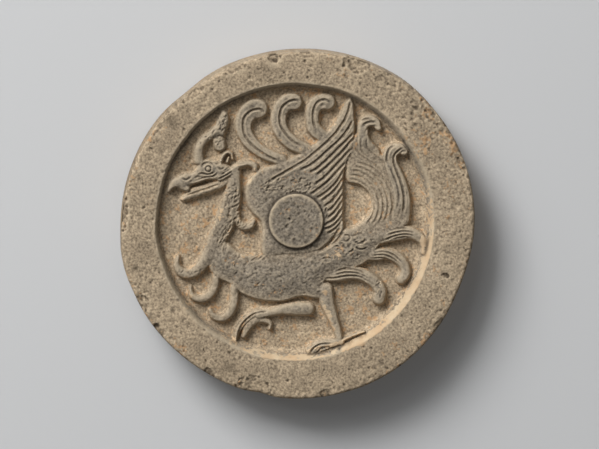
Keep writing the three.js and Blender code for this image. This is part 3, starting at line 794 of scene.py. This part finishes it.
def tile_mesh():
    rings = all_rings()
    starts = np.concatenate([[0], np.cumsum([len(ring) for ring in rings])])
    places = np.concatenate(rings)
    front_middle, back_middle = len(places), len(places) + 1
    middle_y = FIELD_DEPTH - THICKNESS - sample(HEIGHT, np.zeros(1), np.zeros(1))[0]
    places = np.concatenate([places, [[0, middle_y, 0], [0, 0, 0]]])
    faces = [fan(front_middle, 0, len(rings[0]))]
    for i in range(len(rings) - 1):
        faces.append(bridge(starts[i + 1], len(rings[i + 1]), starts[i], len(rings[i])))
    faces.append(fan(back_middle, starts[-2], len(rings[-1]))[:, ::-1])
    places = np.clip(places, LOW, HIGH)
    return places, np.concatenate(faces)


def mesh_from(name, places, faces):
    mesh = bpy.data.meshes.new(name)
    mesh.vertices.add(len(places))
    mesh.vertices.foreach_set("co", (places * MM).astype(np.float32).ravel())
    mesh.loops.add(faces.size)
    mesh.loops.foreach_set("vertex_index", faces.astype(np.int32).ravel())
    mesh.polygons.add(len(faces))
    mesh.polygons.foreach_set("loop_start", np.arange(0, faces.size, 3, dtype=np.int32))
    mesh.update(calc_edges=True)
    return mesh


def thinned(mesh, triangles):
    """The same surface with fewer triangles, kept where it bends."""
    whole = bpy.data.objects.new("whole", mesh)
    bpy.context.scene.collection.objects.link(whole)
    decimate = whole.modifiers.new("decimate", "DECIMATE")
    decimate.ratio = triangles / len(mesh.polygons)
    graph = bpy.context.evaluated_depsgraph_get()
    thin = bpy.data.meshes.new_from_object(whole.evaluated_get(graph))
    bpy.data.objects.remove(whole)
    bpy.data.meshes.remove(mesh)
    return thin


def make_tile():
    mesh = thinned(mesh_from("worn_clay_tile", *tile_mesh()), TRIANGLES)
    mesh.name = "worn_clay_tile"
    mesh.shade_smooth()
    tile = bpy.data.objects.new("worn_clay_tile", mesh)
    bpy.context.scene.collection.objects.link(tile)
    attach(tile, "root")
    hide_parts(NODE)
    return tile


# ---- What lies on the clay, with painted shade and painted highlights ----------------------------

# Pale soil and orange grains: (x, z, half width, half height, turn in degrees, how much).
SOIL_SPOTS = [
    (-26, -13, 7, 4, 0, 1.0), (-42, 2, 2.4, 14, -22, 0.8), (-44, 35.5, 5, 2.6, 0, 0.9),
    (-30, 34, 7, 2.4, 12, 0.9),
    (-57, 29, 7, 3, 25, 0.8), (-63, 14, 4, 5, 0, 0.45), (-66, 0, 3, 26, 0, 0.4), (-60, -30, 7, 4, -30, 0.7),
    (-50, -46, 12, 4, -40, 0.8), (-38, -56, 9, 5, -35, 0.7), (-36, -40, 5, 7, 0, 0.45),
    (-22, -58, 6, 4, 0, 0.25),
    (-20, -66, 12, 3, -12, 0.7), (32, -61, 8, 4, 28, 1.0), (30, -46, 7, 9, 0, 0.62),
    (25, -54, 3, 7, 20, 0.6),
    (16, -50, 2.6, 9, 25, 0.8), (40, -52, 10, 4, 35, 0.4), (48, -26, 5, 5, 0, 0.4), (53, -13, 7, 3, 0, 0.3),
    (62, -15, 3, 3, 0, 0.8), (60, 22, 4, 14, 20, 0.35), (49, 44, 5, 2.5, 0, 0.7), (30, 0, 8, 2, 30, 0.9),
    (38, 8, 2, 7, 0, 0.5), (-20, 44, 7, 3, -35, 0.45), (0, 37, 22, 2, 30, 0.7), (18, 53, 10, 2.4, 55, 0.8),
    (-26, 22, 3, 8, -30, 0.6), (-30, 10, 2, 10, 0, 0.4), (-28, 2.6, 4, 2.4, 0, 0.7),
    (4, -59.5, 12, 2, 10, 0.5),
    (14, -35.5, 4.6, 3, 0, 0.5), (42, -35, 3, 6, -20, 0.45), (33, -6, 5, 4, 0, 0.4),
    (20, -17, 8, 3, 10, 0.4),
]
GRAIN_SPOTS = [
    (-34, 34, 12, 10, 0, 0.4), (-12, 44, 14, 9, -35, 0.35), (-2, 21, 16, 6, 25, 0.45),
    (-6, 7, 9, 5, 20, 0.5),
    (9, -4, 3.4, 6, 0, 0.85), (0, -6, 12, 6, 0, 0.2), (33, 38, 5, 9, 0, 0.4), (50, 5, 6, 5, 0, 0.35),
    (24, -14, 14, 6, 20, 0.4), (-14, -33, 14, 6, -10, 0.5), (-34, -22, 9, 9, 0, 0.5),
    (-60, -4, 6, 18, 0, 0.35),
    (-18, 12, 6, 10, 0, 0.3), (28, -44, 8, 10, 0, 0.4), (-52, -38, 10, 12, 0, 0.4),
    (66, 44, 12, 14, 0, 0.62),
    (78, 18, 7, 26, 0, 0.5), (72, -30, 6, 22, 15, 0.35), (54, -62, 22, 8, 38, 0.4), (-70, 46, 8, 9, 0, 0.4),
    (-78, 20, 6, 16, 0, 0.35), (-72, -24, 7, 14, 0, 0.35), (-58, -62, 12, 8, -40, 0.3),
    (-8, 80, 6, 3, 0, 0.3),
    (30, -76, 14, 5, 20, 0.35), (-30, -80, 12, 5, 0, 0.3), (62, -74, 10, 5, 45, 0.4),
    (22, 78, 8, 4, 0, 0.35),
]

# Soil on the wall, at its lower right and at the bottom: (angle, spread in degrees, how much).
WALL_SOIL = [(322, 50, 1.4), (262, 26, 0.9)]
# What lies on the side and the back; no painted shade or painted highlight is put there.
BEHIND = {"soil": 0.25, "grains": 0.35, "crevice_shade": 0, "rubbed_and_highlit": 0, "rim": 1}


def spots(places):
    """How thick a covering lies, from a list of its spots."""
    cover = np.zeros((COUNT, COUNT))
    for x, z, half_width, half_height, turn, amount in places:
        cosine, sine = math.cos(math.radians(turn)), math.sin(math.radians(turn))
        along = ((DRAW_X - x) * cosine + (DRAW_Z - z) * sine) / half_width
        across = ((DRAW_Z - z) * cosine - (DRAW_X - x) * sine) / half_height
        cover = np.maximum(cover, amount * np.exp(-1.1 * (along ** 2 + across ** 2)))
    return cover


def field_distance():
    """How far inside the rim's inner edge each place lies; negative on the rim."""
    return FIELD_RADIUS - np.hypot(GRID_X - FIELD_CENTRE[0], GRID_Z - FIELD_CENTRE[1])


def soil_cover():
    """Pale soil: thick on the lower right wall, in corners and in its spots."""
    inward = field_distance()
    on_wall = smoothstep(-0.6, 0.2, inward) * (1 - smoothstep(5.2, 6.6, inward))
    round_wall = [
        amount * np.exp(-(angle_apart(ANGLE, at) / spread) ** 2) for at, spread, amount in WALL_SOIL
    ]
    corners = np.clip((blur(HEIGHT, 1.4) - HEIGHT) / 1.2, 0, 1)
    cover = np.maximum(spots(SOIL_SPOTS), on_wall * np.maximum(*round_wall))
    return np.clip(cover + 0.22 * corners * (inward > 0), 0, 1)


def grain_cover():
    """Orange grains: on the rough upper right of the rim, along its outer edge and in their spots."""
    edge = smoothstep(RADIUS - 7, RADIUS, RADIAL)
    return np.clip(0.7 * spots(GRAIN_SPOTS) + 0.26 * edge, 0, 1)


def painted_crevice_shade():
    """Painted shade: 1 in the grooves and at the feet of the forms, where the colour is darkened."""
    fine = np.clip((blur(HEIGHT, 0.8) - HEIGHT) / 0.28, 0, 1)
    broad = np.clip((blur(HEIGHT, 2.2) - HEIGHT) / 1.7, 0, 1)
    return np.clip(0.8 * fine + 0.5 * broad, 0, 1)


def rubbed_and_highlit_edges():
    """1 on the edges and crests, made pale partly as wear and partly as a painted highlight."""
    return np.clip((HEIGHT - blur(HEIGHT, 0.9)) / 0.3, 0, 1)


def rim_cover():
    return smoothstep(-0.5, 0.8, -field_distance())


def coverings_and_painted_light():
    """What the material needs to know of each place, painted shade and highlight included, by attribute name.
    """
    return {
        # The crevice mask is painted shade; the rubbed mask is part wear, part painted highlight.
        "soil": soil_cover(), "grains": grain_cover(), "crevice_shade": painted_crevice_shade(),
        "rubbed_and_highlit": rubbed_and_highlit_edges(), "rim": rim_cover(),
    }


def cover_tile(mesh):
    """Writes the coverings, painted shade and highlight included, to the mesh's points. They fade to those of
    the side and the back.
    """
    places = np.empty(len(mesh.vertices) * 3, np.float32)
    mesh.vertices.foreach_get("co", places)
    x, y, z = places.reshape(-1, 3).T / MM
    front = smoothstep(-22, -25, y)
    for name, field in coverings_and_painted_light().items():
        values = sample(field, x, z) * front + BEHIND[name] * (1 - front)
        layer = mesh.attributes.new(name, "FLOAT", "POINT")
        layer.data.foreach_set("value", values.astype(np.float32))


# ---- The clay ------------------------------------------------------------------------------------

CLAY_GREY = (0.215, 0.181, 0.138)
CLAY_TAN = (0.372, 0.290, 0.196)
# Painted shade: the near black that grooves and the feet of forms are darkened towards.
CREVICE_SHADE_DARK = (0.020, 0.013, 0.008)
SOIL_CREAM = (0.60, 0.47, 0.31)
SOIL_ORANGE = (0.50, 0.30, 0.15)
# Pale of edges and crests: partly rubbed wear, partly painted highlight.
WEAR_AND_HIGHLIGHT_PALE = (0.52, 0.42, 0.29)


class Recipe:
    """A short way to write a material's nodes. Sizes are in millimetres on the object."""

    def __init__(self, name):
        self.material = bpy.data.materials.new(name)
        self.material.use_nodes = True
        self.nodes = self.material.node_tree.nodes
        self.links = self.material.node_tree.links
        self.shader = self.nodes["Principled BSDF"]
        self.place = self.nodes.new("ShaderNodeTexCoord").outputs["Object"]

    def feed(self, socket, value):
        if isinstance(value, bpy.types.NodeSocket):
            self.links.new(value, socket)
        elif isinstance(value, tuple):
            socket.default_value = (*value, 1)
        else:
            socket.default_value = value

    def attribute(self, name):
        node = self.nodes.new("ShaderNodeAttribute")
        node.attribute_name = name
        return node.outputs["Fac"]

    def noise(self, size, detail=2.0, roughness=0.5, aside=0.0):
        """Noise from about 0.25 to 0.75, with lumps of about that size. Aside picks another part of it."""
        moved = self.nodes.new("ShaderNodeVectorMath")
        moved.operation = "ADD"
        self.links.new(self.place, moved.inputs[0])
        moved.inputs[1].default_value = (aside, aside, aside)
        node = self.nodes.new("ShaderNodeTexNoise")
        self.links.new(moved.outputs[0], node.inputs["Vector"])
        node.inputs["Scale"].default_value = 0.5 / (size * MM)
        node.inputs["Detail"].default_value = detail
        node.inputs["Roughness"].default_value = roughness
        return node.outputs["Fac"]

    def math(self, operation, first, second=0.0):
        node = self.nodes.new("ShaderNodeMath")
        node.operation = operation
        self.feed(node.inputs[0], first)
        self.feed(node.inputs[1], second)
        return node.outputs[0]

    def span(self, value, low, high, new_low=0.0, new_high=1.0):
        """The value stretched from one span to another and held inside it."""
        node = self.nodes.new("ShaderNodeMapRange")
        for socket, number in zip(node.inputs, (value, low, high, new_low, new_high)):
            self.feed(socket, number)
        return node.outputs[0]

    def mix(self, share, first, second, blend="MIX"):
        node = self.nodes.new("ShaderNodeMix")
        node.data_type = "RGBA"
        node.blend_type = blend
        self.feed(node.inputs["Factor"], share)
        self.feed(node.inputs[6], first)
        self.feed(node.inputs[7], second)
        return node.outputs[2]


def clay_colour(recipe):
    """Grey-brown clay, tan on the rim, clouded, blotched, speckled, pale on edges as wear and painted
    highlight.
    """
    colour = recipe.mix(recipe.attribute("rim"), CLAY_GREY, CLAY_TAN)
    clouds = recipe.span(recipe.noise(14, 3, 0.6), 0.3, 0.7, 0.86, 1.14)
    blotches = recipe.span(recipe.noise(3, 3, 0.6, 0.3), 0.3, 0.7, 0.86, 1.14)
    speckle = recipe.span(recipe.noise(0.6, 2, 0.6, 0.7), 0.34, 0.66, 0.58, 1.42)
    shade = recipe.math("MULTIPLY", recipe.math("MULTIPLY", clouds, blotches), speckle)
    colour = recipe.mix(1.0, colour, shade, "MULTIPLY")
    # Edges and crests turn pale, partly as wear and partly as a painted highlight.
    rubbed_and_highlit = recipe.math("MULTIPLY", recipe.attribute("rubbed_and_highlit"), 0.62)
    return recipe.mix(rubbed_and_highlit, colour, WEAR_AND_HIGHLIGHT_PALE)


def covered(recipe, cover, size, aside):
    """A covering broken up into flecks: whole where it is thick, scattered where it is thin."""
    coarse = recipe.noise(size * 3.2, 2, 0.5, aside)
    fine = recipe.noise(size, 2, 0.6, aside + 0.1)
    both = recipe.math("ADD", recipe.math("MULTIPLY", coarse, 0.5), recipe.math("MULTIPLY", fine, 0.5))
    limit = recipe.span(both, 0.36, 0.66, 0.08, 1.0)
    return recipe.span(recipe.math("SUBTRACT", cover, limit), 0.0, 0.16)


def clay_material():
    recipe = Recipe("worn_clay")
    colour = clay_colour(recipe)
    soil_tone = recipe.span(recipe.noise(4, 2, 0.5, 1.3), 0.35, 0.65, 0.0, 0.55)
    soil_colour = recipe.mix(soil_tone, SOIL_CREAM, SOIL_ORANGE)
    grains = covered(recipe, recipe.attribute("grains"), 0.8, 1.7)
    soil = covered(recipe, recipe.attribute("soil"), 1.1, 2.3)
    colour = recipe.mix(recipe.math("MULTIPLY", grains, 0.7), colour, SOIL_ORANGE)
    colour = recipe.mix(recipe.math("MULTIPLY", soil, 0.85), colour, soil_colour)
    # Painted shade: grooves and the feet of forms darkened towards near black.
    colour = recipe.mix(recipe.math("MULTIPLY", recipe.attribute("crevice_shade"), 0.85), colour, CREVICE_SHADE_DARK)
    recipe.feed(recipe.shader.inputs["Base Color"], colour)
    roughness = recipe.span(recipe.noise(1.2, 2, 0.5, 3.1), 0.3, 0.7, 0.82, 0.98)
    recipe.feed(recipe.shader.inputs["Roughness"], roughness)
    recipe.shader.inputs["Specular IOR Level"].default_value = 0.2
    rough_surface(recipe, grains, soil)
    return recipe.material


def rough_surface(recipe, grains, soil):
    """Fine grain all over, and raised flecks where soil and grains stick to the clay."""
    fine = recipe.math("MULTIPLY", recipe.noise(0.5, 3, 0.65, 4.1), 0.25)
    coarse = recipe.math("MULTIPLY", recipe.noise(1.6, 2, 0.5, 4.7), 0.3)
    flecks = recipe.math("MULTIPLY", recipe.math("MAXIMUM", grains, soil), 0.12)
    height = recipe.math("ADD", recipe.math("ADD", fine, coarse), flecks)
    bump = recipe.nodes.new("ShaderNodeBump")
    bump.inputs["Strength"].default_value = 0.8
    bump.inputs["Distance"].default_value = MM
    recipe.feed(bump.inputs["Height"], height)
    recipe.links.new(bump.outputs[0], recipe.shader.inputs["Normal"])


tile = make_tile()
cover_tile(tile.data)
tile.data.materials.append(clay_material())

# ---- The wall, the floor, the light and the camera -----------------------------------------------

FLOOR_DEPTH = 0.45  # below the tile's middle
STAGE_SIZE = 4.0
WALL_GREY = (0.58, 0.585, 0.59)
FLOOR_GREY = (0.62, 0.62, 0.62)


def plane(name, corners, material):
    mesh = bpy.data.meshes.new(name)
    mesh.from_pydata(corners, [], [(0, 1, 2, 3)])
    mesh.materials.append(material)
    made = bpy.data.objects.new(name, mesh)
    bpy.context.scene.collection.objects.link(made)
    return made


def stage_material(name, colour, see_through_back=False):
    material = bpy.data.materials.new(name)
    material.use_nodes = True
    nodes, links = material.node_tree.nodes, material.node_tree.links
    shader = nodes["Principled BSDF"]
    shader.inputs["Base Color"].default_value = (*colour, 1)
    shader.inputs["Roughness"].default_value = 0.9
    shader.inputs["Specular IOR Level"].default_value = 0.0
    if see_through_back:
        side = nodes.new("ShaderNodeNewGeometry")
        clear = nodes.new("ShaderNodeBsdfTransparent")
        mix = nodes.new("ShaderNodeMixShader")
        links.new(side.outputs["Backfacing"], mix.inputs[0])
        links.new(shader.outputs[0], mix.inputs[1])
        links.new(clear.outputs[0], mix.inputs[2])
        links.new(mix.outputs[0], nodes["Material Output"].inputs["Surface"])
    return material


def make_stage():
    size, low = STAGE_SIZE, -FLOOR_DEPTH
    wall_paint = stage_material("wall_paint", WALL_GREY, see_through_back=True)
    corners = [(-size, MM, low), (size, MM, low), (size, MM, size), (-size, MM, size)]
    wall = plane("wall", corners, wall_paint)
    wall.visible_shadow = False
    wall.visible_diffuse = False
    wall.visible_glossy = False
    floor_paint = stage_material("floor_paint", FLOOR_GREY)
    corners = [(-size, -size, low), (size, -size, low), (size, size, low), (-size, size, low)]
    floor = plane("floor", corners, floor_paint)
    floor.visible_diffuse = False


def area_light(name, place, power, size):
    light = bpy.data.lights.new(name, "AREA")
    light.energy = power
    light.size = size
    lamp = bpy.data.objects.new(name, light)
    lamp.location = place
    lamp.rotation_euler = (-Vector(place)).to_track_quat("-Z", "Y").to_euler()
    bpy.context.scene.collection.objects.link(lamp)


KEY_PLACE = (-1.43, -1.80, 1.93)
# Area lights: (name, place, power, size).
LIGHTS = [
    ("key", KEY_PLACE, 92, 1.25),
    ("key_spill", KEY_PLACE, 42, 2.7),
    ("fill", (0.1, -1.6, -0.9), 4, 1.2),
    ("back", (0.6, 1.6, 0.9), 14, 1.0),
]
WORLD_STRENGTH = 0.155


def make_light():
    bpy.context.scene.view_settings.view_transform = "Standard"
    for name, place, power, size in LIGHTS:
        area_light(name, place, power, size)
    world = bpy.data.worlds.new("studio")
    world.use_nodes = True
    world.node_tree.nodes["Background"].inputs["Color"].default_value = (1, 1, 1, 1)
    world.node_tree.nodes["Background"].inputs["Strength"].default_value = WORLD_STRENGTH
    bpy.context.scene.world = world


CAMERA_AZIMUTH = -2.7
CAMERA_ELEVATION = 5.6
CAMERA_DISTANCE = 2.2
FRAME_WIDTH = 0.3138
AIM = (0.00175, -0.00193)  # right of and above the middle of the back, in the picture's plane


def make_camera():
    azimuth, elevation = math.radians(-CAMERA_AZIMUTH), math.radians(CAMERA_ELEVATION)
    ahead = Vector((math.sin(azimuth) * math.cos(elevation), math.cos(azimuth) * math.cos(elevation),
                    -math.sin(elevation)))
    right = Vector((math.cos(azimuth), -math.sin(azimuth), 0))
    aim = right * AIM[0] + right.cross(ahead) * AIM[1]
    data = bpy.data.cameras.new("camera")
    data.lens = data.sensor_width * CAMERA_DISTANCE / FRAME_WIDTH
    camera = bpy.data.objects.new("camera", data)
    camera.location = aim - ahead * CAMERA_DISTANCE
    camera.rotation_euler = ahead.to_track_quat("-Z", "Y").to_euler()
    bpy.context.scene.collection.objects.link(camera)
    bpy.context.scene.camera = camera


make_stage()
make_light()
make_camera()
